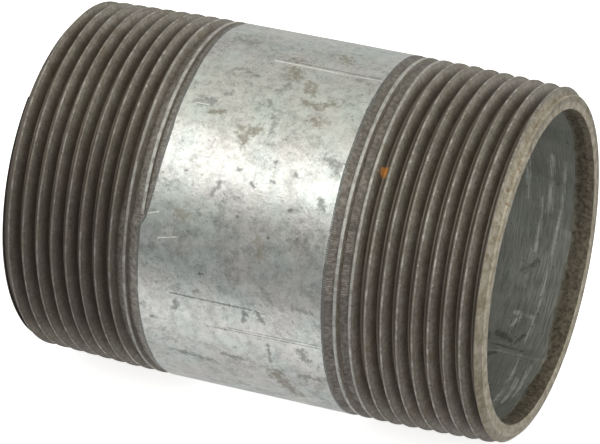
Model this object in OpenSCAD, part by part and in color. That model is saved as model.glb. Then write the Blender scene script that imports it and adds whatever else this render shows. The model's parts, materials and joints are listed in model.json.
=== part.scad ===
// Threaded pipe nipple: a short length of galvanised steel pipe with a
// right-hand taper pipe thread cut on each end. The pipe's axis is X and the
// origin is on it, midway between the two end faces.

/* [Pipe] */
// Outside diameter of the pipe, over its zinc coat
pipe_d = 73.025; // [66:0.005:80]
// Wall thickness, with both zinc coats
wall = 5.156; // [4.8:0.002:6]
// Length over the two end faces
nipple_length = 101.6; // [90:0.1:200]
// Thickness of each zinc coat
zinc = 0.08; // [0.05:0.01:0.12]

/* [Threads] */
// Distance from one crest to the next
pitch = 3.175; // [2.8:0.005:3.3]
// Height of the thread as a share of the pitch
height_share = 0.8; // [0.7:0.01:0.8]
// Length over which the thread's diameter grows by one unit
taper = 16; // [12:1:24]
// Length of the right thread, from the end face to the barrel
right_thread_length = 32.6; // [28:0.1:40]
// Length of the left thread, from the end face to the barrel
left_thread_length = 32.0; // [28:0.1:40]
// Angle round the axis at which the right thread's crest leaves the end face
right_start_angle = 302; // [0:1:359]
// The same for the left thread, seen with that end turned to the right
left_start_angle = 247; // [0:1:359]
// Slope of the run-out cone between the thread's roots and the barrel, in degrees
run_out_angle = 15; // [12:1:25]

/* [Ends] */
// Size of the 45 degree chamfer round each end face
chamfer = 1.5; // [1.2:0.1:2]
// Depth to which each mouth of the bore is reamed
ream_depth = 4; // [2:0.5:8]
// Growth of the bore's radius at the end face, from reaming
ream_growth = 0.35; // [0.2:0.05:0.6]

/* [Weld seam] */
// Angle of the seam round the axis, from +Y towards +Z
seam_angle = 293; // [0:1:359]
// Width of the bead of weld metal that stands inside the bore
bead_width = 3; // [2:0.5:5]
// Height of that bead above the bore
bead_height = 0.2; // [0.1:0.05:0.25]

/* [Detail] */
// Straight steps in one turn of each thread
steps_per_turn = 48; // [36:4:60]

/* [Hidden] */

$fn = 96;
mm_per_inch = 25.4;
outer_r = pipe_d / 2;
bore_r = outer_r - wall;
half_length = nipple_length / 2;
right_barrel_end = half_length - right_thread_length;
left_barrel_end = half_length - left_thread_length;

// The standard taper pipe thread: its pitch diameter at the end face, and the
// crest and root radii that lie half a thread height outside and inside it.
pitch_d_at_face = pipe_d - (0.05 * pipe_d / mm_per_inch + 1.1) * pitch;
thread_height = height_share * pitch;
crest_r_at_face = (pitch_d_at_face + thread_height) / 2;
root_r_at_face = (pitch_d_at_face - thread_height) / 2;
radius_slope = 1 / (2 * taper);
flank_slope = tan(60);
flank_width = thread_height / flank_slope;
half_flat = (pitch / 2 - flank_width) / 2;
run_out_slope = tan(run_out_angle);
// Ridge vertices stand out by this factor, so that the chords between them
// touch the round wall below instead of sinking into it.
chord_lift = 1 / cos(180 / steps_per_turn);
// Thinnest slice of a ridge that is still drawn, at either of its ends
thinnest_slice = 0.1;
// Straight steps across the weld bead
bead_steps = 12;

function crest_cone(x) = crest_r_at_face + (half_length - x) * radius_slope;
function root_cone(x) = root_r_at_face + (half_length - x) * radius_slope;
function run_out_cone(x, barrel_end) = outer_r - (x - barrel_end) * run_out_slope;
function wall_r(x, barrel_end) = max(root_cone(x), run_out_cone(x, barrel_end));
function chamfer_cone(x) = crest_r_at_face - chamfer + half_length - x;

// Where the run-out cone comes down to a radius, and where it meets the roots
function run_out_x(radius, barrel_end) = barrel_end + (outer_r - radius) / run_out_slope;
function run_out_foot(barrel_end) =
    (outer_r + barrel_end * run_out_slope - root_cone(0)) / (run_out_slope - radius_slope);

// Outline of half of the steel wall, from the middle to one end face
function steel_half_outline(barrel_end) = [
    [run_out_x(outer_r - zinc, barrel_end), outer_r - zinc],
    [run_out_foot(barrel_end), root_cone(run_out_foot(barrel_end))],
    [half_length, root_r_at_face],
    [half_length, bore_r + ream_growth],
    [half_length - ream_depth, bore_r],
    [half_length - ream_depth, bore_r + zinc]
];

function mirrored(points) = [
    for (i = [len(points) - 1 : -1 : 0])
        [-points[i][0], points[i][1]]
];

// Turns an outline of [x, radius] points about the X axis
module turned_about_x(outline) {
    rotate([0, 90, 0])
        rotate_extrude()
            polygon([for (p = outline) [p[1], p[0]]]);
}

// A slice of the ridge is the four-sided section between the wall and the
// crest. Its left and right feet are where the flanks meet the wall, or the
// plane of the end face where that cuts the section short.
function left_foot(xc, barrel_end) = max(
    xc - half_flat - flank_width,
    (run_out_cone(0, barrel_end) - crest_cone(xc) + (xc - half_flat) * flank_slope)
        / (flank_slope + run_out_slope)
);
function right_foot(xc, barrel_end) = min(
    xc + half_flat + flank_width,
    (crest_cone(xc) + (xc + half_flat) * flank_slope - run_out_cone(0, barrel_end))
        / (flank_slope - run_out_slope),
    half_length
);
function half_top(xc) = half_flat + max(0, crest_cone(xc) - outer_r) / flank_slope;
function ridge_r(x, xc) = min(
    outer_r,
    chamfer_cone(x),
    crest_cone(xc) - max(0, abs(x - xc) - half_flat) * flank_slope
);

function slice_points(xc, angle, barrel_end) =
    let (
        foot_a = left_foot(xc, barrel_end),
        foot_b = right_foot(xc, barrel_end),
        width = foot_b - foot_a,
        top_a = min(xc - half_top(xc), foot_a + 0.45 * width),
        top_b = min(xc + half_top(xc), foot_b - 0.05 * width)
    )
    [
        on_slice(foot_a, wall_r(foot_a, barrel_end) * chord_lift, angle),
        on_slice(top_a, ridge_r(top_a, xc), angle),
        on_slice(top_b, ridge_r(top_b, xc), angle),
        on_slice(foot_b, wall_r(foot_b, barrel_end) * chord_lift, angle)
    ];
function on_slice(x, radius, angle) = [x, radius * cos(angle), radius * sin(angle)];

// One helical ridge, from the end face back to the barrel, wound right-handed
module thread_ridge(barrel_end, start_angle) {
    first_xc = half_length + half_flat + flank_width - thinnest_slice;
    last_xc = barrel_end + half_top(barrel_end) + thinnest_slice;
    steps = floor((first_xc - last_xc) / pitch * steps_per_turn);
    points = [
        for (i = [0 : steps])
            let (xc = first_xc - i * pitch / steps_per_turn)
            each slice_points(xc, start_angle + 360 * (xc - half_length) / pitch, barrel_end)
    ];
    sides = [
        for (i = [0 : steps - 1], k = [0 : 3])
            let (a = 4 * i + k, b = 4 * i + (k + 1) % 4)
            each [[a, b, b + 4], [a, b + 4, a + 4]]
    ];
    last = 4 * steps;
    caps = [[0, 3, 2, 1], [last, last + 1, last + 2, last + 3]];
    polyhedron(points, concat(sides, caps), convexity = 10);
}

// The pipe itself, without its zinc: plain barrel, run-out cones, tapered roots
// of both threads and reamed mouths
module steel_pipe_wall() {
    color([0.42, 0.39, 0.36])
        turned_about_x(concat(
            steel_half_outline(right_barrel_end),
            mirrored(steel_half_outline(left_barrel_end))
        ));
}

// Hot-dip zinc left on the barrel between the two threads
module barrel_zinc_coat() {
    color([0.72, 0.73, 0.73])
        turned_about_x([
            [right_barrel_end, outer_r],
            [run_out_x(outer_r - zinc, right_barrel_end), outer_r - zinc],
            [-run_out_x(outer_r - zinc, left_barrel_end), outer_r - zinc],
            [-left_barrel_end, outer_r]
        ]);
}

// Hot-dip zinc inside the bore, which ends where the mouths are reamed
module bore_zinc_lining() {
    lining_half = half_length - ream_depth;
    color([0.42, 0.44, 0.42])
        turned_about_x([
            [-lining_half, bore_r],
            [lining_half, bore_r],
            [lining_half, bore_r + zinc],
            [-lining_half, bore_r + zinc]
        ]);
}

// Low bead of weld metal along the inside of the pipe's seam. Its back lies on
// the bore, and its front rises from both edges to the bead's full height.
module bore_weld_seam() {
    back = [for (i = [0 : bead_steps]) bead_point(i, 0)];
    front = [for (i = [bead_steps - 1 : -1 : 1]) bead_point(i, bead_height)];
    color([0.38, 0.40, 0.38])
        rotate([seam_angle, 0, 0])
            rotate([90, 0, 90])
                linear_extrude(nipple_length - 2 * ream_depth, center = true)
                    polygon(concat(back, front));
}
// A point across the bead: its share of the width, and how high it stands there
function bead_point(i, height) =
    let (
        across = 2 * i / bead_steps - 1,
        angle = across * asin(bead_width / 2 / bore_r),
        radius = bore_r - height * (1 - across * across)
    )
    [radius * cos(angle), radius * sin(angle)];

module left_pipe_thread() {
    color([0.36, 0.33, 0.30])
        rotate([0, 0, 180])
            thread_ridge(left_barrel_end, left_start_angle);
}

module right_pipe_thread() {
    color([0.45, 0.42, 0.39])
        thread_ridge(right_barrel_end, right_start_angle);
}

steel_pipe_wall();
barrel_zinc_coat();
bore_zinc_lining();
bore_weld_seam();
left_pipe_thread();
right_pipe_thread();
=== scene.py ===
"""Visual model of a galvanised, threaded pipe nipple, built round its CAD frame.

The pipe's axis is X, through the origin. Angles run round the axis from +Y towards +Z.
Lengths are in metres: a value in millimetres is written as a number times MM.
"""

import json
import math

import bpy
import numpy as np
from mathutils import Matrix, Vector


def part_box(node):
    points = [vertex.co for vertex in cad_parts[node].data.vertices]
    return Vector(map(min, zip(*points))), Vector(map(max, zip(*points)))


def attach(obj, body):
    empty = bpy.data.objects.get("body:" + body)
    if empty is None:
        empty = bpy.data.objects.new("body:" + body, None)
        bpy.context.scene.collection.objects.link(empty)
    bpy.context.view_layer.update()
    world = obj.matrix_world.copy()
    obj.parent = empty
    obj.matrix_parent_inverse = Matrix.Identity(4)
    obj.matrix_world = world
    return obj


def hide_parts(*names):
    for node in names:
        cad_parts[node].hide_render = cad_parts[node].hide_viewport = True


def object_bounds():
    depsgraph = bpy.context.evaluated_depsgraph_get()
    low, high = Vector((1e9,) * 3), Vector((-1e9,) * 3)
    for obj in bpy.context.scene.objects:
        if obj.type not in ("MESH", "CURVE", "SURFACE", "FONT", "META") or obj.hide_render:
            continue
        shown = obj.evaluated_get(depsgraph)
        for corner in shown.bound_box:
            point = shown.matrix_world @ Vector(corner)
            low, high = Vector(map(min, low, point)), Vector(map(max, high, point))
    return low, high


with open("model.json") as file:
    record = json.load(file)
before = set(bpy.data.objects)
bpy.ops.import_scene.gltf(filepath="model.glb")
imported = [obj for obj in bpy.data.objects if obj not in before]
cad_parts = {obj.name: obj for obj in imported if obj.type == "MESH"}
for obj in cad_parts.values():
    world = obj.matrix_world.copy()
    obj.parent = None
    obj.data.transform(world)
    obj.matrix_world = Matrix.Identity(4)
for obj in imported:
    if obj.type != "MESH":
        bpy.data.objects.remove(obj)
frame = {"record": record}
cad_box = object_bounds()

MM = 0.001
TURN = 2 * math.pi

# ---------------------------------------------------------------- sizes from the frame
mounts = {mount["name"]: mount for mount in frame["record"]["mounts"]}
OUTER_R = min(-cad_box[0][1], cad_box[1][1], -cad_box[0][2], cad_box[1][2])
BORE_R = mounts["bore"]["dims"]["r_mm"] * MM
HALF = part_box("steel_pipe_wall")[1].x
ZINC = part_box("bore_zinc_lining")[1].z - BORE_R

# ---------------------------------------------------------------- the standard thread
PITCH = 3.175 * MM
THREAD_HEIGHT = 0.8 * PITCH
RADIUS_SLOPE = 1 / 32
PITCH_R_AT_FACE = 69.076 * MM / 2
CREST_R_AT_FACE = PITCH_R_AT_FACE + THREAD_HEIGHT / 2
ROOT_R_AT_FACE = PITCH_R_AT_FACE - THREAD_HEIGHT / 2
FLANK_SLOPE = math.tan(math.radians(60))
FLANK_WIDTH = THREAD_HEIGHT / FLANK_SLOPE
HALF_FLAT = (PITCH / 2 - FLANK_WIDTH) / 2
RUN_OUT_SLOPE = math.tan(math.radians(17))
CHAMFER = 1.5 * MM
HALF_CREST = 0.20 * MM
HALF_ROOT = 0.13 * MM
TURNS_TO_LAST_GROOVE = 9

# The edge of the barrel's zinc, going once round from where the last groove starts. It starts
# drawn away from mid-length, dips back, and then climbs, faster at first. In millimetres, with
# each rate per turn, and the place where it blends back to its start as a share of the turn.
EDGE_START = 1.6
EDGE_START_RATE = 35
EDGE_EARLY_CLIMB = 0.9
EDGE_EARLY_CLIMB_RATE = 8
EDGE_CLIMB = 1.75
EDGE_BLENDS_FROM = 0.988


class Thread:
    """One end's thread, in a frame of its own in which its end face is at +X.

    face_angle is where the crest would cross the end face. groove_angle is where the last
    groove starts, and near is the distance from mid-length that the zinc's edge is laid out from.
    chatter_size and wear scale the die's chatter marks and the damage to the crests.
    """

    def __init__(self, side, face_angle, groove_angle, near, chatter_size, wear):
        self.side = side
        self.face_angle = math.radians(face_angle)
        self.groove_angle = math.radians(groove_angle)
        self.near = near
        self.chatter_size = chatter_size
        self.wear = wear

    def barrel_edge(self, angle):
        """Distance from mid-length at which the zinc barrel stops, for angles in this frame."""
        turn = np.mod(angle - self.groove_angle, TURN) / TURN
        away = EDGE_START * np.exp(-EDGE_START_RATE * turn) + EDGE_CLIMB * turn
        away = away + EDGE_EARLY_CLIMB * (1 - np.exp(-EDGE_EARLY_CLIMB_RATE * turn))
        closing = np.clip((turn - EDGE_BLENDS_FROM) / (1 - EDGE_BLENDS_FROM), 0, 1)
        away = away + (EDGE_START - away) * closing**2 * (3 - 2 * closing)
        return self.near + away * MM

    def place(self, points):
        """Points from this thread's own frame to the pipe's."""
        return points * np.array([self.side, self.side, 1.0])

    def own_angle(self, angle):
        """An angle round the pipe, as seen in this thread's own frame."""
        return angle if self.side > 0 else math.pi - angle


RIGHT = Thread(1, 302, 20, 16.75 * MM, 1.0, 1.0)
LEFT = Thread(-1, 247, 23, 17.65 * MM, 0.5, 1.3)

# ---------------------------------------------------------------- the ends and the bore
COLLAR_R = 34.15 * MM
REAM_DEPTH = 3.7 * MM
REAM_GROWTH = 0.35 * MM
SEAM_ANGLE = math.radians(293)

# How many steps round the pipe each mesh has, how many of the wall's make one chatter mark, and
# how many columns of points its run-out cone has
WALL_STEPS = 2040
CHATTER_EVERY = 4
RUN_OUT_COLUMNS = 15
RIDGE_STEPS = 720
COAT_STEPS = 720


def crest_cone(x):
    """Radius of the thread's crests at a distance x from the middle of the pipe."""
    return CREST_R_AT_FACE + (HALF - x) * RADIUS_SLOPE


def root_cone(x):
    return ROOT_R_AT_FACE + (HALF - x) * RADIUS_SLOPE


def run_out_cone(x, barrel_end):
    """Radius of the cone that the die's lead teeth leave between the roots and the barrel."""
    return OUTER_R - (x - barrel_end) * RUN_OUT_SLOPE


def run_out_foot(barrel_end):
    """Where the run-out cone comes down to the roots."""
    rise = OUTER_R + barrel_end * RUN_OUT_SLOPE - root_cone(0)
    return rise / (RUN_OUT_SLOPE - RADIUS_SLOPE)


def groove_floor(x, barrel_end):
    return np.maximum(root_cone(x), run_out_cone(x, barrel_end))


def chamfer_cone(x):
    return CREST_R_AT_FACE - CHAMFER + HALF - x


# ---------------------------------------------------------------- mesh helpers
def smooth_noise(shape, feature, seed):
    """A periodic random field of unit spread, whose bumps are about feature cells across."""
    field = np.random.default_rng(seed).standard_normal(shape)
    spectrum = np.fft.fft2(field)
    for axis, cells in enumerate(feature):
        frequency = np.fft.fftfreq(shape[axis]).reshape([-1 if i == axis else 1 for i in range(2)])
        spectrum = spectrum * np.exp(-2 * (math.pi * frequency * cells / 2.4) ** 2)
    field = np.fft.ifft2(spectrum).real
    return field / field.std()


def turned(x, radius, angle):
    """Points at a distance x along the axis, and at a radius and an angle round it."""
    return np.stack(np.broadcast_arrays(x, radius * np.cos(angle), radius * np.sin(angle)), -1)


def grid_faces(rows, columns, close_rows):
    """Quads over a grid whose columns close into a ring, and the caps where its rows don't."""
    first = np.arange(rows if close_rows else rows - 1)[:, None]
    across = np.arange(columns)[None, :]
    next_row = (first + 1) % rows
    next_column = (across + 1) % columns
    corners = (
        first * columns + across,
        first * columns + next_column,
        next_row * columns + next_column,
        next_row * columns + across,
    )
    quads = np.stack(np.broadcast_arrays(*corners), -1).reshape(-1, 4)
    first_cap = list(range(columns - 1, -1, -1))
    last_cap = list(range((rows - 1) * columns, rows * columns))
    return quads, [] if close_rows else [first_cap, last_cap]


def mesh_piece(name, points, close_rows=True, sharp=35):
    """A closed mesh over a grid of points, facing outwards, smooth except at sharp edges."""
    rows, columns = points.shape[:2]
    quads, caps = grid_faces(rows, columns, close_rows)
    corners = points.reshape(-1, 3)
    mesh = bpy.data.meshes.new(name)
    mesh.from_pydata(corners.tolist(), [], quads.tolist() + caps)
    mesh.update()
    if signed_volume(corners, quads) < 0:
        mesh.flip_normals()
    mesh.shade_smooth()
    mesh.set_sharp_from_angle(angle=math.radians(sharp))
    piece = bpy.data.objects.new(name, mesh)
    bpy.context.scene.collection.objects.link(piece)
    return piece


def signed_volume(points, quads):
    """Volume inside the quads, negative when they face inwards."""
    a, b, c, d = (points[quads[:, i]] for i in range(4))
    return float((np.cross(a, b) * c + np.cross(a, c) * d).sum()) / 6


def place(piece, material, node):
    """Gives a finished piece its material and its body, and hides the CAD node that it stands for."""
    piece.data.materials.append(material)
    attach(piece, "root")
    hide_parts(node)
    return piece


# ---------------------------------------------------------------- node helpers
class Nodes:
    """A node tree, built by short calls that each return an output socket."""

    def __init__(self, tree):
        self.nodes = tree.nodes
        self.links = tree.links

    def plug(self, socket, value):
        if isinstance(value, bpy.types.NodeSocket):
            self.links.new(value, socket)
        elif value is not None:
            socket.default_value = value

    def math(self, operation, a, b=None, c=None):
        node = self.nodes.new("ShaderNodeMath")
        node.operation = operation
        for socket, value in zip(node.inputs, (a, b, c)):
            self.plug(socket, value)
        return node.outputs[0]

    def mix(self, share, a, b, blend="MIX"):
        node = self.nodes.new("ShaderNodeMix")
        node.data_type = "RGBA"
        node.blend_type = blend
        self.plug(node.inputs["Factor"], share)
        for socket, value in zip(node.inputs[6:8], (a, b)):
            self.plug(socket, value if isinstance(value, bpy.types.NodeSocket) else (*value, 1))
        return node.outputs[2]

    def ramp(self, value, stops):
        """A colour ramp through (position, level or colour) stops."""
        node = self.nodes.new("ShaderNodeValToRGB")
        self.plug(node.inputs[0], value)
        elements = node.color_ramp.elements
        for i, (position, level) in enumerate(stops):
            element = elements[i] if i < 2 else elements.new(position)
            element.position = position
            colour = level if isinstance(level, tuple) else (level, level, level)
            element.color = (*colour, 1)
        return node.outputs[0]


class Graph(Nodes):
    """A material's node tree, in millimetres on the object."""

    def __init__(self, name):
        self.material = bpy.data.materials.new(name)
        self.material.use_nodes = True
        super().__init__(self.material.node_tree)
        self.shader = self.nodes["Principled BSDF"]
        place_of = self.nodes.new("ShaderNodeTexCoord").outputs["Object"]
        self.at = self.vector("SCALE", place_of, factor=1 / MM)
        axes = self.nodes.new("ShaderNodeSeparateXYZ")
        self.links.new(self.at, axes.inputs[0])
        self.x, self.y, self.z = axes.outputs
        self.radius = self.math("SQRT", self.math("ADD", self.square(self.y), self.square(self.z)))
        self.from_face = self.math("SUBTRACT", HALF / MM, self.math("ABSOLUTE", self.x))

    def square(self, value):
        return self.math("MULTIPLY", value, value)

    def vector(self, operation, a, b=None, factor=None):
        node = self.nodes.new("ShaderNodeVectorMath")
        node.operation = operation
        self.plug(node.inputs[0], a)
        self.plug(node.inputs[1], b)
        self.plug(node.inputs[3], factor)
        return node.outputs[1 if operation in ("DISTANCE", "DOT_PRODUCT") else 0]

    def combine(self, x, y, z):
        node = self.nodes.new("ShaderNodeCombineXYZ")
        for socket, value in zip(node.inputs, (x, y, z)):
            self.plug(socket, value)
        return node.outputs[0]

    def noise(self, per_mm, detail=3.0, stretch=(1, 1, 1), roughness=0.55, shift=None):
        """Noise with features of about 1/per_mm millimetres, drawn out where stretch is under 1.

        shift looks the noise up elsewhere, so that it has nothing to do with the one at the same scale.
        """
        at = self.vector("ADD", self.at, shift) if shift else self.at
        node = self.nodes.new("ShaderNodeTexNoise")
        self.plug(node.inputs["Vector"], self.vector("MULTIPLY", at, stretch))
        self.plug(node.inputs["Scale"], float(per_mm))
        self.plug(node.inputs["Detail"], float(detail))
        self.plug(node.inputs["Roughness"], roughness)
        return node.outputs["Fac"]

    def step(self, value, low, high, bottom=0.0, top=1.0):
        """A smooth step from bottom to top as value goes from low to high."""
        node = self.nodes.new("ShaderNodeMapRange")
        node.interpolation_type = "SMOOTHSTEP"
        node.clamp = False  # a smooth step never leaves its range, and a clamp would cost a node
        for socket, number in zip(node.inputs, (value, low, high, bottom, top)):
            self.plug(socket, number)
        return node.outputs[0]

    def paint(self, mask, strength, under, over):
        """Lays the colour over on the colour under, where mask is 1, to a given strength."""
        return self.mix(self.math("MULTIPLY", mask, strength), under, over)

    def any_of(self, masks):
        most = masks[0]
        for mask in masks[1:]:
            most = self.math("MAXIMUM", most, mask)
        return most

    def unroll(self, radius, facing):
        """Lays a round surface out flat in millimetres, with its cut opposite to facing."""
        self.flat_radius = radius
        self.facing = math.radians(facing)
        along = (math.cos(self.facing), math.sin(self.facing))
        u = self.math("MULTIPLY_ADD", self.z, along[1], self.math("MULTIPLY", self.y, along[0]))
        v = self.math("MULTIPLY_ADD", self.y, -along[1], self.math("MULTIPLY", self.z, along[0]))
        turn = self.math("ARCTAN2", v, u)
        self.flat = self.combine(self.x, self.math("MULTIPLY", turn, radius), 0.0)
        self.ragged = self.math("SUBTRACT", self.noise(1.1, 6, roughness=0.72), 0.5)

    def flat_place(self, x, angle):
        return np.array([x, (math.radians(angle) - self.facing) * self.flat_radius, 0.0])

    def stroke(self, x0, angle0, x1, angle1, width, ragged=1.0):
        """A mark from one (x, degrees) to another, about width across, with ragged edges."""
        start, end = self.flat_place(x0, angle0), self.flat_place(x1, angle1)
        run = end - start
        offset = self.vector("SUBTRACT", self.flat, tuple(start))
        share = self.vector("DOT_PRODUCT", offset, tuple(run / run.dot(run)))
        share = self.math("MINIMUM", self.math("MAXIMUM", share, 0.0), 1.0)
        nearest = self.vector("SCALE", tuple(run), factor=share)
        distance = self.vector("DISTANCE", offset, nearest)
        distance = self.math("MULTIPLY_ADD", self.ragged, 3.4 * width * ragged, distance)
        return self.step(distance, 0.85 * width, 0.05 * width)

    def strokes(self, marks, ragged=1.0):
        """All the marks together, joined one by one, which keeps the shader's working memory small."""
        together = 0.0
        for mark in marks:
            together = self.math("MAXIMUM", together, self.stroke(*mark, ragged))
        return together

    def bump(self, height, millimetres, under=None):
        node = self.nodes.new("ShaderNodeBump")
        self.plug(node.inputs["Strength"], 1.0)
        self.plug(node.inputs["Distance"], millimetres * MM)
        self.plug(node.inputs["Height"], height)
        self.plug(node.inputs["Normal"], under)
        return node.outputs[0]

    def finish(self, colour, roughness, normal, metallic=1.0):
        self.plug(self.shader.inputs["Base Color"], colour)
        self.plug(self.shader.inputs["Roughness"], roughness)
        self.plug(self.shader.inputs["Normal"], normal)
        self.plug(self.shader.inputs["Metallic"], metallic)
        return self.material


# ---------------------------------------------------------------- materials
# Marks on the barrel, placed from the photo. Each runs from one (x, angle) to another, in
# millimetres and degrees, and then has its width.
OIL_STAINS = (
    (-4.4, 125.6, -3.1, 128.8, 2.0), (-3.2, 126.0, -1.3, 124.3, 1.8), (-0.6, 97.5, 1.0, 101.0, 2.8),
    (4.2, 102.5, 4.7, 107.0, 1.2), (5.6, 103.5, 6.3, 107.5, 1.2), (5.4, 111.0, 8.8, 112.0, 1.3),
    (9.6, 110.7, 11.1, 109.7, 1.0), (8.2, 117.0, 10.2, 118.0, 1.6), (-13.1, 154.0, -11.0, 155.2, 2.1),
    (-2.0, 92.5, -0.2, 92.8, 1.2), (6.8, 84.5, 8.6, 88.0, 2.2), (4.2, 157.0, 5.2, 162.5, 1.6),
    (7.6, 206.0, 10.0, 218.0, 3.2), (-12.0, 121.2, -9.2, 120.2, 1.0),
)
GREY_SMUDGES = (
    (1.3, 118.5, 1.5, 124.0, 1.6), (-15.4, 117.8, -12.5, 117.1, 1.8), (-10.6, 113.5, -9.3, 112.7, 1.0),
    (-1.5, 113.1, -0.8, 114.8, 0.8), (-8.7, 102.8, -6.2, 104.1, 0.9), (-11.4, 102.7, -9.0, 102.1, 0.9),
    (-0.5, 108.5, 0.5, 106.0, 1.5), (-15.0, 86.5, -11.5, 87.0, 2.2), (15.2, 142.5, 16.2, 144.8, 1.2),
    (-6.9, 147.5, -5.7, 142.8, 1.0), (14.5, 129.0, 17.0, 131.0, 2.0), (1.0, 161.0, 2.8, 161.5, 1.5),
    (8.0, 161.3, 10.6, 158.1, 1.0), (-13.0, 161.0, -10.8, 160.7, 1.4), (-12.8, 186.1, -12.2, 184.1, 1.3),
    (-8.3, 178.8, -7.6, 177.8, 0.9), (2.0, 185.5, 2.6, 182.0, 1.0), (5.3, 181.0, 6.2, 184.0, 1.1),
    (12.5, 176.7, 16.2, 177.1, 1.2), (5.8, 171.5, 7.8, 176.0, 1.9), (3.6, 169.1, 4.8, 170.9, 1.6),
    (14.2, 170.9, 16.2, 170.7, 1.4), (-14.5, 205.3, -6.2, 206.8, 1.3), (-3.8, 201.5, 1.6, 202.5, 1.0),
    (7.0, 193.0, 7.0, 200.5, 0.7), (13.2, 204.5, 18.0, 203.9, 1.4), (13.8, 192.5, 14.8, 196.0, 1.8),
)
DARK_SPECKS = (
    (8.9, 135.6, 9.1, 135.9, 0.8), (4.3, 139.2, 5.2, 139.5, 0.5), (0.5, 141.0, 1.4, 142.2, 0.6),
    (-2.6, 137.8, -1.9, 137.6, 0.5), (4.0, 133.0, 4.3, 133.2, 0.7), (6.1, 156.1, 6.3, 156.3, 0.6),
    (-0.8, 151.8, -0.6, 151.9, 0.5), (9.5, 146.8, 9.8, 146.6, 0.8), (-7.0, 171.9, -6.5, 171.8, 0.7),
    (-17.9, 191.4, -17.6, 191.0, 0.8), (-13.2, 141.2, -12.8, 141.1, 0.5),
)
DARK_SCRATCHES = (
    (-13.4, 180.5, 4.0, 180.5, 0.36), (-5.8, 190.2, 18.3, 189.6, 0.18), (-1.5, 189.2, 18.3, 188.5, 0.16),
    (-4.9, 94.0, 17.0, 94.2, 0.22),
)
BRIGHT_SCRATCHES = (
    (-4.9, 95.1, 8.2, 95.4, 0.42), (8.2, 95.6, 17.8, 95.2, 0.2), (2.3, 143.7, 8.2, 143.9, 0.2),
    (-19.6, 156.6, -16.9, 155.2, 0.26), (-15.6, 118.9, -13.0, 118.8, 0.18),
    (-16.5, 163.3, -12.5, 161.8, 0.18), (-1.2, 95.9, 1.8, 95.0, 0.2),
)


def barrel_zinc_material():
    """Hot-dip zinc with grey mottling, pits, oxide lines, stains and handling scratches."""
    g = Graph("barrel_zinc")
    g.unroll(OUTER_R / MM, 148)
    patches = g.step(g.noise(0.15, 4), 0.34, 0.66)
    clouds = g.step(g.noise(0.55, 5, roughness=0.62), 0.36, 0.62)
    grain = g.step(g.noise(1.9, 5, roughness=0.7), 0.34, 0.64)
    pits = g.step(g.noise(1.25, 5, roughness=0.62), 0.365, 0.30)
    line = g.math("ABSOLUTE", g.math("SUBTRACT", g.noise(0.75, 4, roughness=0.7), 0.5))
    oxide = g.math("MULTIPLY", g.step(line, 0.016, 0.004), g.step(g.noise(0.24, 3), 0.5, 0.62))
    colour = g.mix(patches, (0.39, 0.395, 0.385), (0.585, 0.595, 0.58))
    colour = g.paint(clouds, 0.65, colour, (0.74, 0.75, 0.735))
    colour = g.paint(grain, 0.45, colour, (0.82, 0.825, 0.815))
    warmth = g.step(g.noise(0.11, 3, shift=(40, 0, 0)), 0.38, 0.62)
    tint = g.mix(warmth, (0.96, 1.0, 0.985), (1.0, 0.972, 0.962))
    colour = g.mix(1.0, colour, tint, "MULTIPLY")
    smut = g.step(g.noise(0.75, 6, roughness=0.75, shift=(0, 60, 0)), 0.475, 0.36)
    smut = g.math("MULTIPLY", smut, g.step(g.noise(0.2, 3), 0.40, 0.56, 0.08, 0.42))
    dirt = g.any_of([g.math("MULTIPLY", pits, 0.6), g.math("MULTIPLY", oxide, 0.55), smut])
    colour = g.mix(dirt, colour, (0.15, 0.155, 0.15))
    stains = g.strokes(OIL_STAINS)
    smudges = g.strokes(GREY_SMUDGES)
    colour = g.paint(smudges, 0.55, colour, (0.25, 0.255, 0.25))
    colour = g.paint(stains, 0.62, colour, (0.27, 0.24, 0.18))
    dark = g.any_of([g.strokes(DARK_SPECKS, 0.7), g.strokes(DARK_SCRATCHES, 0.5)])
    bright = g.strokes(BRIGHT_SCRATCHES, 0.6)
    colour = g.paint(dark, 0.68, colour, (0.10, 0.105, 0.105))
    colour = g.paint(bright, 0.85, colour, (0.97, 0.96, 0.93))
    frosting = g.step(g.noise(0.4, 5, roughness=0.65, shift=(0, 0, 80)), 0.36, 0.62)
    roughness = g.math("MULTIPLY_ADD", frosting, 0.12, 0.27)
    roughness = g.math("MULTIPLY_ADD", g.any_of([stains, smudges, bright]), 0.22, roughness)
    normal = g.bump(g.noise(0.45, 4), 0.05)
    normal = g.bump(g.noise(1.6, 5, roughness=0.6), 0.035, normal)
    return g.finish(colour, roughness, normal)


def turning_marks(g):
    """Fine lines round the pipe, as a cutting tool leaves them."""
    return g.noise(7.0, 3, (1.0, 0.03, 0.03))


def face_colour(g):
    """The turned end face: oily beige with rust freckles on the right, dark on the left."""
    mottle = g.step(g.noise(0.55, 6, roughness=0.68), 0.36, 0.66)
    beige = g.mix(mottle, (0.53, 0.48, 0.40), (0.31, 0.27, 0.19))
    rusty = g.step(g.noise(0.7, 5, roughness=0.7), 0.54, 0.68)
    near_top = g.step(g.z, 5.0, 28.0, 0.25, 0.9)
    beige = g.mix(g.math("MULTIPLY", rusty, near_top), beige, (0.23, 0.135, 0.06))
    specks = g.step(g.noise(1.8, 3), 0.35, 0.29)
    beige = g.paint(specks, 0.7, beige, (0.10, 0.08, 0.06))
    return g.mix(g.step(g.x, -5.0, 5.0), (0.13, 0.11, 0.095), beige)


# The one bright spot of rust: along the axis and out from it in millimetres, and round it
RUST_X = 25.75
RUST_RADIUS = 34.5
RUST_ANGLE = math.radians(128.3)
RUST_COLOUR = (0.50, 0.23, 0.06)


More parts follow.
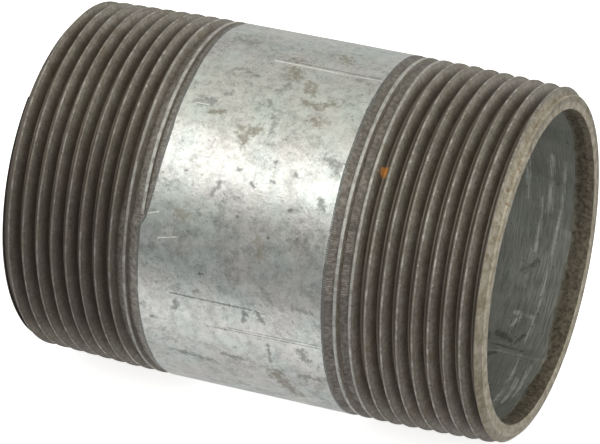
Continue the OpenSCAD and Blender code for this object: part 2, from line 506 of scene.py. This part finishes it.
def orange_rust(g):
    """Where the bright spot of rust is, in the right thread's groove."""
    place_y = RUST_RADIUS * math.cos(RUST_ANGLE)
    place_z = RUST_RADIUS * math.sin(RUST_ANGLE)
    distance = g.vector("DISTANCE", g.at, (RUST_X, place_y, place_z))
    distance = g.math("MULTIPLY_ADD", g.noise(1.5, 4), 1.2, distance)
    return g.step(distance, 2.0, 1.55)


# The side that the threads' painted shade darkens, as an angle round the axis
SHADED_SIDE_ANGLE = math.radians(172)


def cut_steel_material(name, skin_reach, side_shade):
    """Die-cut, oily steel. The crests nearest the barrel keep the pipe's zinc skin.

    skin_reach is the distances from the end face over which that skin grows, in millimetres.
    The last argument paints shade on the side that the shaded-side angle faces, which is the camera's,
    from 0 for not at all.
    """
    g = Graph(name)
    blotch = g.step(g.noise(0.2, 5), 0.34, 0.66)
    tone = g.step(g.noise(0.13, 4, shift=(0, 30, 0)), 0.36, 0.64)
    grime = g.step(g.noise(1.1, 5, roughness=0.7), 0.35, 0.7)
    grain = g.step(g.noise(3.2, 4, roughness=0.75), 0.3, 0.7)
    marks = turning_marks(g)
    crest = g.math("MULTIPLY_ADD", g.from_face, RADIUS_SLOPE, CREST_R_AT_FACE / MM)
    crest = g.math("MINIMUM", crest, OUTER_R / MM)
    below_crest = g.math("SUBTRACT", crest, g.radius)
    brown = g.mix(blotch, (0.25, 0.205, 0.17), (0.40, 0.355, 0.315))
    olive = g.mix(blotch, (0.27, 0.255, 0.195), (0.38, 0.365, 0.305))
    colour = g.mix(tone, brown, olive)
    colour = g.paint(grain, 0.5, colour, (0.66, 0.62, 0.57))
    colour = g.paint(grime, 0.55, colour, (0.14, 0.115, 0.095))
    # Darker towards the roots: grime, and painted shade in the grooves
    deep_grime_and_shade = g.step(below_crest, 0.4, 2.2)
    colour = g.paint(deep_grime_and_shade, 0.55, colour, (0.125, 0.102, 0.085))
    dull = g.math("MULTIPLY", g.step(below_crest, 0.7, 0.1), 0.45)
    colour = g.mix(dull, colour, (0.17, 0.15, 0.13))
    # Painted highlight: broken bright lines along the crests
    glint_breakup = g.step(g.noise(0.45, 6, roughness=0.75), 0.46, 0.66)
    glint = g.math("MULTIPLY", g.step(below_crest, 0.20, 0.04), glint_breakup)
    colour = g.paint(glint, 0.45, colour, (0.86, 0.84, 0.80))
    # Nicks in the crests, with painted highlights on their burrs
    nicks_and_burr_glints = g.math("MULTIPLY", g.step(g.noise(1.4, 3), 0.655, 0.70), g.step(below_crest, 0.9, 0.2))
    colour = g.paint(nicks_and_burr_glints, 0.7, colour, (0.75, 0.72, 0.68))
    chips = g.step(g.noise(1.0, 4, shift=(0, 0, 50)), 0.355, 0.29)
    colour = g.paint(chips, 0.6, colour, (0.10, 0.08, 0.06))
    drips = g.step(g.noise(0.22, 5, roughness=0.65, shift=(70, 0, 0)), 0.57, 0.68)
    colour = g.paint(drips, 0.4, colour, (0.20, 0.15, 0.085))
    # Painted shade: darker on the side that faces the angle above, as strong as the last argument asks
    facing = g.math("MULTIPLY", g.y, math.cos(SHADED_SIDE_ANGLE))
    facing = g.math("MULTIPLY_ADD", g.z, math.sin(SHADED_SIDE_ANGLE), facing)
    side_shade_mask = g.math("MULTIPLY", g.step(facing, 22.0, 33.0), side_shade)
    colour = g.mix(side_shade_mask, colour, (0.12, 0.105, 0.085))
    skin = g.math("MULTIPLY", g.step(below_crest, 0.24, 0.06), g.step(g.from_face, *skin_reach))
    patchy = g.step(g.noise(0.7, 5, roughness=0.7), 0.40, 0.58, 0.35, 0.85)
    colour = g.mix(g.math("MULTIPLY", skin, patchy), colour, (0.60, 0.60, 0.575))
    end = g.step(g.from_face, 1.7, 1.1)
    colour = g.mix(end, colour, face_colour(g))
    rust = orange_rust(g)
    colour = g.mix(rust, colour, RUST_COLOUR)
    roughness = g.math("MULTIPLY_ADD", marks, 0.12, 0.42)
    roughness = g.math("MULTIPLY_ADD", deep_grime_and_shade, -0.12, roughness)
    roughness = g.math("MULTIPLY_ADD", skin, -0.06, roughness)
    roughness = g.math("MAXIMUM", roughness, g.math("MULTIPLY", rust, 0.9))
    normal = g.bump(marks, 0.03)
    normal = g.bump(g.math("ADD", grime, grain), 0.035, normal)
    normal = g.bump(g.math("SUBTRACT", nicks_and_burr_glints, chips), 0.06, normal)
    metal = g.math("MULTIPLY_ADD", skin, 0.1, 0.88)
    metal = g.math("MULTIPLY", metal, g.math("SUBTRACT", 1.0, rust))
    return g.finish(colour, roughness, normal, metal)


def pipe_wall_material():
    """Bare steel of the run-out cones, roots, end faces and reamed mouths."""
    g = Graph("machined_steel")
    marks = turning_marks(g)
    fine = g.step(g.noise(1.2, 6, roughness=0.7), 0.35, 0.65)
    left = g.step(g.x, 5.0, -5.0)
    right_band = g.mix(fine, (0.29, 0.265, 0.24), (0.15, 0.132, 0.115))
    left_band = g.mix(fine, (0.33, 0.31, 0.28), (0.17, 0.152, 0.135))
    band = g.mix(left, right_band, left_band)
    around = g.math("MULTIPLY", g.math("ARCTAN2", g.z, g.y), WALL_STEPS / CHATTER_EVERY)
    around = g.math("MULTIPLY_ADD", g.noise(0.6, 3), 3.0, around)
    ticks = g.step(g.math("SINE", around), -0.3, 0.7)
    ticks = g.math("MULTIPLY", ticks, g.step(g.noise(0.3, 3), 0.38, 0.6))
    ticks = g.math("MULTIPLY", ticks, g.math("MULTIPLY_ADD", left, -0.35, 0.6))
    band = g.mix(ticks, band, (0.10, 0.09, 0.08))
    # Darker in the thread roots: grime, and painted shade in the grooves
    root = g.step(g.radius, 34.9, 34.4)
    colour = g.mix(root, band, (0.17, 0.143, 0.12))
    cut_zinc = g.step(g.radius, OUTER_R / MM - 0.17, OUTER_R / MM - 0.11)
    colour = g.mix(cut_zinc, colour, (0.18, 0.18, 0.175))
    face = g.step(g.from_face, 1.7, 1.4)
    colour = g.mix(face, colour, face_colour(g))
    inside = g.step(g.radius, BORE_R / MM + 0.55, BORE_R / MM + 0.36)
    mouth = g.mix(fine, (0.27, 0.235, 0.18), (0.11, 0.092, 0.068))
    colour = g.mix(g.math("MULTIPLY", inside, g.step(g.from_face, 0.05, 0.3)), colour, mouth)
    lip = g.math("MULTIPLY", g.step(g.radius, BORE_R / MM + 0.11, BORE_R / MM + 0.05), inside)
    colour = g.paint(lip, 0.5, colour, (0.55, 0.54, 0.48))
    colour = g.mix(orange_rust(g), colour, RUST_COLOUR)
    roughness = g.math("MULTIPLY_ADD", marks, 0.12, 0.36)
    normal = g.bump(marks, 0.02)
    normal = g.bump(fine, 0.03, normal)
    return g.finish(colour, roughness, normal, g.math("MULTIPLY_ADD", face, -0.2, 0.85))


# Marks in the bore, in the same form. Most of the rubs run round it.
BORE_RUBS = (
    (42.8, 260.0, 42.7, 292.0, 0.9), (45.5, 270.0, 45.8, 288.0, 0.8), (44.4, 264.0, 44.2, 280.0, 0.9),
    (42.7, 298.0, 43.2, 316.0, 0.7), (39.6, 334.0, 39.8, 354.0, 1.0), (39.2, 320.0, 39.0, 334.0, 0.7),
    (42.9, 318.0, 43.6, 346.0, 0.6), (43.8, 345.0, 44.6, 372.0, 0.8), (41.4, 350.0, 41.8, 374.0, 1.2),
    (42.9, 308.5, 38.8, 309.5, 1.0), (38.8, 304.0, 40.2, 309.0, 0.8), (36.5, 354.0, 36.8, 376.0, 1.0),
)
BORE_LUMPS = (
    (40.0, 297.0, 36.5, 300.0, 1.2), (43.0, 293.5, 37.0, 294.5, 0.4), (38.0, 326.0, 40.5, 330.0, 1.2),
    (35.5, 289.0, 37.5, 291.0, 0.9), (40.5, 296.5, 42.0, 301.0, 0.7),
)


def bore_zinc_material():
    """Dull zinc inside the bore, with pale rubbed arcs and dark lumps."""
    g = Graph("bore_zinc")
    g.unroll(BORE_R / MM, 310)
    blotch = g.step(g.noise(0.12, 4), 0.34, 0.66)
    tone = g.step(g.noise(0.16, 3, shift=(0, 0, 20)), 0.36, 0.64)
    hairs = g.step(g.noise(3.2, 4, (1.0, 0.07, 0.07)), 0.42, 0.62)
    pits = g.step(g.noise(1.2, 4), 0.35, 0.28)
    green = g.mix(blotch, (0.34, 0.36, 0.325), (0.45, 0.47, 0.435))
    grey = g.mix(blotch, (0.36, 0.355, 0.335), (0.47, 0.465, 0.44))
    colour = g.mix(tone, green, grey)
    colour = g.paint(hairs, 0.22, colour, (0.66, 0.67, 0.64))
    rubs = g.math("MULTIPLY", g.strokes(BORE_RUBS, 0.7), g.math("MULTIPLY_ADD", hairs, 0.75, 0.25))
    lumps = g.strokes(BORE_LUMPS)
    colour = g.paint(rubs, 0.7, colour, (0.90, 0.90, 0.87))
    dark = g.any_of([g.math("MULTIPLY", pits, 0.6), g.math("MULTIPLY", lumps, 0.55)])
    colour = g.mix(dark, colour, (0.10, 0.10, 0.08))
    roughness = g.math("MULTIPLY_ADD", rubs, 0.15, 0.42)
    normal = g.bump(g.noise(0.5, 5), 0.08)
    normal = g.bump(hairs, 0.02, normal)
    return g.finish(colour, roughness, normal, 0.85)


def floor_material():
    g = Graph("pale_floor")
    colour = g.mix(g.noise(0.02, 2), (0.90, 0.90, 0.90), (0.93, 0.93, 0.93))
    g.plug(g.shader.inputs["Emission Color"], (1.0, 1.0, 1.0, 1.0))
    g.plug(g.shader.inputs["Emission Strength"], 0.75)
    return g.finish(colour, 0.9, None, 0.0)


# ---------------------------------------------------------------- the steel wall
def chatter(rows, seed):
    """Height of the marks that a shuddering die leaves on the run-out cone, one per row."""
    wave = np.where(np.arange(rows) % CHATTER_EVERY < CHATTER_EVERY / 2, 1.0, -1.0)
    strength = 0.6 + 0.4 * smooth_noise((rows, 1), (24, 1), seed)[:, 0]
    jitter = 0.5 * smooth_noise((rows, 1), (3, 1), seed + 1)[:, 0]
    return (wave * np.clip(strength, 0.1, 1.2) + jitter) * 0.035 * MM


def ream_depth(angle, seed):
    """The reamer bites unevenly, and less beside the weld bead."""
    ragged = smooth_noise((len(angle), 1), (45, 1), seed)[:, 0]
    bead = np.exp(-((np.angle(np.exp(1j * (angle - SEAM_ANGLE))) / math.radians(10)) ** 2))
    return REAM_DEPTH + (0.55 * np.cos(angle + math.radians(10)) + 0.07 * ragged - 1.1 * bead) * MM


def run_out_columns(edge, marks, noise):
    """Columns of (x, radius) down the run-out cone, with the die's chatter fading at both ends."""
    foot = run_out_foot(edge)
    columns = []
    for i, share in enumerate(np.linspace(0.01, 1, RUN_OUT_COLUMNS)):
        x = edge + (foot - edge) * share
        fade = np.clip((x - edge) / (0.6 * MM), 0, 1) * np.clip((foot - x) / (3.0 * MM), 0, 1)
        columns.append((x, run_out_cone(x, edge) + (marks + noise[:, i]) * fade))
    return columns


def collar_columns(noise):
    """Columns along the thread's roots and over the narrow collar beside the end face."""
    outline = (
        (14.0 * MM, root_cone(HALF - 14 * MM)),
        (2.2 * MM, root_cone(HALF - 2.2 * MM)),
        (1.5 * MM, COLLAR_R - 0.12 * MM),
        (1.2 * MM, COLLAR_R),
        (0.22 * MM, COLLAR_R - 0.02 * MM),
        (0.06 * MM, COLLAR_R - 0.10 * MM),
    )
    return [(HALF - back, radius + noise[:, i]) for i, (back, radius) in enumerate(outline)]


def mouth_columns(depth, noise):
    """Columns over the end face, round the lip and down the reamed mouth, under the lining's end."""
    mouth_r = BORE_R + REAM_GROWTH
    dents = np.abs(noise[:, 0]) * 2
    return [
        (HALF - dents, COLLAR_R - 0.28 * MM),
        (HALF - dents, (ROOT_R_AT_FACE + mouth_r) / 2),
        (HALF - dents, mouth_r + 0.22 * MM + noise[:, 1]),
        (HALF - 0.16 * MM, mouth_r + 0.02 * MM + noise[:, 2]),
        (HALF - 0.55 * depth, BORE_R + 0.45 * REAM_GROWTH + noise[:, 3]),
        (HALF - depth, BORE_R + 0.06 * MM + noise[:, 4]),
        (HALF - depth - 0.5 * MM, BORE_R + ZINC + 0.03 * MM),
    ]


def wall_half(thread, seed):
    """Columns of points from under the zinc's edge, round one end of the pipe, to the bore."""
    angle = thread.own_angle(np.arange(WALL_STEPS) * TURN / WALL_STEPS)
    marks = chatter(WALL_STEPS, seed) * thread.chatter_size
    noise = smooth_noise((WALL_STEPS, 30), (10, 4), seed + 2) * 0.012 * MM
    edge = thread.barrel_edge(angle)
    columns = [(edge - 0.4 * MM, OUTER_R - ZINC - 0.01 * MM)]
    for part in (
        run_out_columns(edge, marks, noise),
        collar_columns(noise[:, RUN_OUT_COLUMNS + 1:]),
        mouth_columns(ream_depth(angle, seed + 3), noise[:, RUN_OUT_COLUMNS + 7:]),
    ):
        columns.extend(part)
    return [thread.place(turned(x, radius, angle)) for x, radius in columns]


def pipe_wall():
    columns = wall_half(RIGHT, 11) + wall_half(LEFT, 31)[::-1]
    return mesh_piece("steel_pipe_wall_detailed", np.stack(columns, 1))


# ---------------------------------------------------------------- the thread ridges
THINNEST = 0.06 * MM
FLANK_SHARES = (1.0, 0.66, 0.33)
FLANK_WEAR = (0.0, 0.2, 0.6)
CREST_SHARES = (-1.0, -0.72, -0.3, 0.3, 0.72, 1.0)
SHOULDER_DROP = 0.07 * MM


def flank_feet(centre, barrel_end):
    """Where the ridge's two flanks reach the groove floor, on the barrel's side and the face's."""
    crest = crest_cone(centre)
    reach = PITCH / 2 - HALF_ROOT
    cone_top = run_out_cone(0, barrel_end)
    barrel_side = (cone_top - crest + (centre - HALF_FLAT) * FLANK_SLOPE) / (FLANK_SLOPE + RUN_OUT_SLOPE)
    face_side = (crest + (centre + HALF_FLAT) * FLANK_SLOPE - cone_top) / (FLANK_SLOPE - RUN_OUT_SLOPE)
    foot_a = np.maximum(centre - reach, barrel_side)
    foot_b = np.minimum(np.minimum(centre + reach, face_side), HALF)
    return foot_a, foot_b


def ridge_slices(centre, barrel_end):
    """(x, radius) across the ridge for each slice: up one flank, over the crest, down the other."""
    foot_a, foot_b = flank_feet(centre, barrel_end)
    half_top = HALF_CREST + np.maximum(0, crest_cone(centre) - OUTER_R) / FLANK_SLOPE
    width = foot_b - foot_a
    top_a = np.minimum(centre - half_top, foot_a + 0.45 * width)
    top_b = np.minimum(centre + half_top, foot_b - 0.04 * width)
    top_r = np.minimum(crest_cone(centre), OUTER_R)
    floor_a = groove_floor(foot_a, barrel_end) - 0.04 * MM
    floor_b = groove_floor(foot_b, barrel_end) - 0.04 * MM
    shoulder = top_r - SHOULDER_DROP
    x, radius = [], []
    for share in FLANK_SHARES:
        x.append(top_a + (foot_a - top_a) * share)
        radius.append(shoulder + (floor_a - shoulder) * share)
    for share in CREST_SHARES:
        x.append((top_a + top_b) / 2 + (top_b - top_a) / 2 * share)
        radius.append(top_r - SHOULDER_DROP * share**4)
    for share in FLANK_SHARES[::-1]:
        x.append(top_b + (foot_b - top_b) * share)
        radius.append(shoulder + (floor_b - shoulder) * share)
    x, radius = np.stack(x, 1), np.stack(radius, 1)
    return x, np.minimum(radius, chamfer_cone(x)), np.minimum(floor_a, floor_b)


def thread_ridge(name, thread, seed):
    """One right-handed helical ridge, from the end face to the start of the last groove."""
    first = HALF + HALF_FLAT + FLANK_WIDTH - THINNEST
    turns_back = (thread.groove_angle - thread.face_angle) / TURN - TURNS_TO_LAST_GROOVE
    last = HALF + PITCH * turns_back
    rows = int((first - last) / PITCH * RIDGE_STEPS)
    centre = np.linspace(first, last, rows)
    angle = thread.face_angle + TURN * (centre - HALF) / PITCH
    x, radius, floor = ridge_slices(centre, thread.barrel_edge(angle + 1e-6))
    columns = x.shape[1]
    on_crest = np.array([*FLANK_WEAR, *(1.0 for _ in CREST_SHARES), *FLANK_WEAR[::-1]])[None, :]
    dents = np.clip(smooth_noise((rows, columns), (7, 3), seed) - 2.0, 0, 2) * 0.10 * MM
    ripple = (smooth_noise((rows, columns), (16, 4), seed + 1) + 1.5).clip(0) * 0.012 * MM
    radius = radius - (dents + ripple) * thread.wear * on_crest
    sway = smooth_noise((rows, 1), (90, 1), seed + 2) * 0.03 * MM
    x = np.minimum(x + sway * on_crest, HALF)
    below = floor - 0.3 * MM
    x = np.concatenate([x, x[:, :1] / 2 + x[:, -1:] / 2], 1)
    radius = np.concatenate([radius, below[:, None]], 1)
    points = thread.place(turned(x, radius, angle[:, None]))
    return mesh_piece(name, points, close_rows=False, sharp=50)


# ---------------------------------------------------------------- the zinc and the seam
def barrel_coat():
    """The zinc on the barrel: a thin sleeve with runs and bumps, cut back along both grooves."""
    angle = np.arange(COAT_STEPS) * TURN / COAT_STEPS
    right = RIGHT.barrel_edge(angle)[:, None]
    left = -LEFT.barrel_edge(LEFT.own_angle(angle))[:, None]
    share = np.linspace(0, 1, 122)[None, :]
    x = left + (right - left) * share
    waves = smooth_noise(x.shape, (26, 26), 51) * 0.013 * MM
    bumps = smooth_noise(x.shape, (8, 8), 52) * 0.0045 * MM
    grit = smooth_noise(x.shape, (2.5, 2.5), 53) * 0.002 * MM
    outer = OUTER_R - 0.035 * MM + np.clip(waves + bumps + grit, -0.04 * MM, 0.035 * MM)
    inner = OUTER_R - ZINC - 0.004 * MM
    reach = ZINC / RUN_OUT_SLOPE
    inner_x = np.concatenate([right + reach, (right + left) / 2, left - reach], 1)
    turn = angle[:, None]
    points = np.concatenate([turned(x, outer, turn), turned(inner_x, inner, turn)], 1)
    return mesh_piece("barrel_zinc_coat_detailed", points, sharp=60)


def bore_lining():
    """The zinc in the bore, with runs along it and ragged ends where the reamer cut it."""
    angle = np.arange(COAT_STEPS) * TURN / COAT_STEPS
    share = np.linspace(-1, 1, 120)[None, :]
    step = WALL_STEPS / COAT_STEPS
    every = (np.arange(COAT_STEPS) * step).astype(int)
    fine_angle = np.arange(WALL_STEPS) * TURN / WALL_STEPS
    right = HALF - ream_depth(fine_angle, 14)[every]
    left = HALF - ream_depth(LEFT.own_angle(fine_angle), 34)[every]
    x = (right + left)[:, None] / 2 * share + (right - left)[:, None] / 2
    shape = (COAT_STEPS, x.shape[1])
    runs = smooth_noise(shape, (10, 34), 61) * 0.05 * MM
    drips = np.clip(smooth_noise(shape, (9, 9), 62) - 1.6, 0, 3) * 0.14 * MM
    inner = BORE_R + 0.03 * MM - np.clip(runs, -0.06 * MM, 0.2 * MM) - drips
    outer = BORE_R + ZINC + 0.002 * MM
    outer_x = x[:, [-1, x.shape[1] // 2, 0]]
    points = np.concatenate(
        [turned(x, inner, angle[:, None]), turned(outer_x, outer, angle[:, None])], 1
    )
    return mesh_piece("bore_zinc_lining_detailed", points, sharp=60)


def weld_seam():
    """The low, uneven bead along the inside of the pipe's weld."""
    rows, columns = 420, 15
    share = np.linspace(-1, 1, rows)[:, None]
    reach = HALF - REAM_DEPTH + 0.9 * MM
    across = np.linspace(-1, 1, columns)[None, :]
    wobble = smooth_noise((rows, 1), (30, 1), 71) * 0.10 * MM
    half_width = 1.35 * MM + smooth_noise((rows, 1), (26, 1), 72) * 0.15 * MM
    height = 0.24 * MM + smooth_noise((rows, columns), (9, 4), 73) * 0.035 * MM
    radius = BORE_R + 0.10 * MM - height * (1 - across**4)
    angle = SEAM_ANGLE + (wobble + half_width * across) / BORE_R
    front = turned(reach * share, radius, angle)
    back = turned(reach * share, BORE_R + 0.14 * MM, angle[:, -2:0:-4])
    return mesh_piece("bore_weld_seam_detailed", np.concatenate([front, back], 1), False, 60)


# ---------------------------------------------------------------- camera, light, floor
# Where a fit to the photo's outline and thread crests puts the camera
AZIMUTH = math.radians(22.571)
ELEVATION = math.radians(29.832)
CAMERA_DISTANCE = 740.755 * MM
LENS_MM = 220.5
SENSOR_MM = 36.0
SHIFT_RIGHT = -0.0082
SHIFT_UP = -0.0064


def aim(thing, direction, distance):
    """Stands a camera or a light off from the origin, level and facing it, and adds it."""
    away = np.array(direction)
    away = away / np.linalg.norm(away)
    right = np.cross([0.0, 0.0, 1.0], away)
    right = right / np.linalg.norm(right)
    up = np.cross(away, right)
    pose = Matrix([[*row] for row in np.stack([right, up, away], 1)]).to_4x4()
    pose.translation = (away * distance).tolist()
    thing.matrix_world = pose
    bpy.context.scene.collection.objects.link(thing)


def studio_camera():
    direction = (
        math.sin(AZIMUTH) * math.cos(ELEVATION),
        -math.cos(AZIMUTH) * math.cos(ELEVATION),
        math.sin(ELEVATION),
    )
    data = bpy.data.cameras.new("studio_camera")
    data.sensor_width = SENSOR_MM
    data.lens = LENS_MM
    data.shift_x = SHIFT_RIGHT
    data.shift_y = SHIFT_UP
    data.clip_start = 0.01
    data.clip_end = 50.0
    camera = bpy.data.objects.new("studio_camera", data)
    aim(camera, direction, CAMERA_DISTANCE)
    bpy.context.scene.camera = camera


def studio_floor():
    reach = 4.0
    drop = cad_box[0][2]
    corners = [(-reach, -reach, drop), (reach, -reach, drop), (reach, reach, drop), (-reach, reach, drop)]
    mesh = bpy.data.meshes.new("studio_floor")
    mesh.from_pydata(corners, [], [(0, 1, 2, 3)])
    mesh.materials.append(floor_material())
    floor = bpy.data.objects.new("studio_floor", mesh)
    bpy.context.scene.collection.objects.link(floor)
    floor.visible_glossy = False


def softbox(name, direction, distance, width, height, radiance):
    """A rectangular light that faces the object, of a given brightness per unit of area."""
    data = bpy.data.lights.new(name, "AREA")
    data.shape = "RECTANGLE"
    data.size = width
    data.size_y = height
    data.energy = radiance * math.pi * width * height
    aim(bpy.data.objects.new(name, data), direction, distance)


# The studio's brightness, set to bring the reflections near the photo's.
# First by the angle in degrees round the X axis, from +Y towards +Z. The camera is at about 148.
STUDIO_ROUND = (
    (-180, 0.31), (-164, 0.34), (-150, 0.56), (-138, 1.14), (-118, 0.94), (-94, 0.62), (-60, 0.66),
    (-30, 0.60), (0, 0.62), (30, 0.56), (60, 0.68), (90, 0.91), (106, 0.87),
    (122, 1.10), (134, 1.04), (146, 0.63), (162, 0.40), (180, 0.31),
)
# Its colour by height, from straight down at 0 to straight up at 1
STUDIO_TINT = ((0.0, (1.0, 1.0, 0.985)), (0.5, (0.995, 1.0, 0.985)), (1.0, (1.0, 1.0, 0.90)))
# Its brightness towards +X, by the same height, which takes over from the one round the axis
STUDIO_RIGHT = (
    (0.0, 0.27), (0.18, 0.39), (0.36, 0.32), (0.46, 0.26),
    (0.50, 0.34), (0.53, 1.36), (0.57, 1.20), (1.0, 0.70),
)
STUDIO_BACKDROP = (1.0, 1.0, 1.0)


def studio_world():
    """A soft studio with bright bands above and below the camera's side, and a white backdrop."""
    world = bpy.data.worlds.new("studio")
    world.use_nodes = True
    bpy.context.scene.world = world
    g = Nodes(world.node_tree)
    axes = g.nodes.new("ShaderNodeSeparateXYZ")
    g.links.new(g.nodes.new("ShaderNodeTexCoord").outputs["Generated"], axes.inputs[0])
    x, y, z = axes.outputs
    turn = g.math("ADD", g.math("DIVIDE", g.math("ARCTAN2", z, y), TURN), 0.5)
    height = g.math("MULTIPLY_ADD", z, 0.5, 0.5)
    round_pipe = g.ramp(turn, [((degrees + 180) / 360, level) for degrees, level in STUDIO_ROUND])
    right = g.ramp(height, STUDIO_RIGHT)
    toward_right = g.math("SMOOTH_MIN", g.math("MULTIPLY_ADD", x, 2.5, 0.5), 1.0, 0.1)
    level = g.mix(g.math("MAXIMUM", toward_right, 0.0), round_pipe, right)
    light = g.mix(1.0, level, g.ramp(height, STUDIO_TINT), "MULTIPLY")
    seen = g.nodes.new("ShaderNodeLightPath").outputs["Is Camera Ray"]
    g.plug(g.nodes["Background"].inputs["Color"], g.mix(seen, light, STUDIO_BACKDROP))


# ---------------------------------------------------------------- putting it together
studio_camera()
studio_floor()
studio_world()
softbox("key_softbox", (-0.33, -0.54, 0.77), 1.1, 0.9, 0.5, 1.0)

right_steel = cut_steel_material("thread_steel_right", (22.0, 29.0), 0.0)
left_steel = cut_steel_material("thread_steel_left", (24.0, 31.0), 0.5)
bore_zinc = bore_zinc_material()

place(pipe_wall(), pipe_wall_material(), "steel_pipe_wall")
right_ridge = thread_ridge("right_pipe_thread_detailed", RIGHT, 81)
left_ridge = thread_ridge("left_pipe_thread_detailed", LEFT, 91)
place(right_ridge, right_steel, "right_pipe_thread")
place(left_ridge, left_steel, "left_pipe_thread")
place(barrel_coat(), barrel_zinc_material(), "barrel_zinc_coat")
place(bore_lining(), bore_zinc, "bore_zinc_lining")
place(weld_seam(), bore_zinc, "bore_weld_seam")

bpy.context.scene.view_settings.view_transform = "Standard"
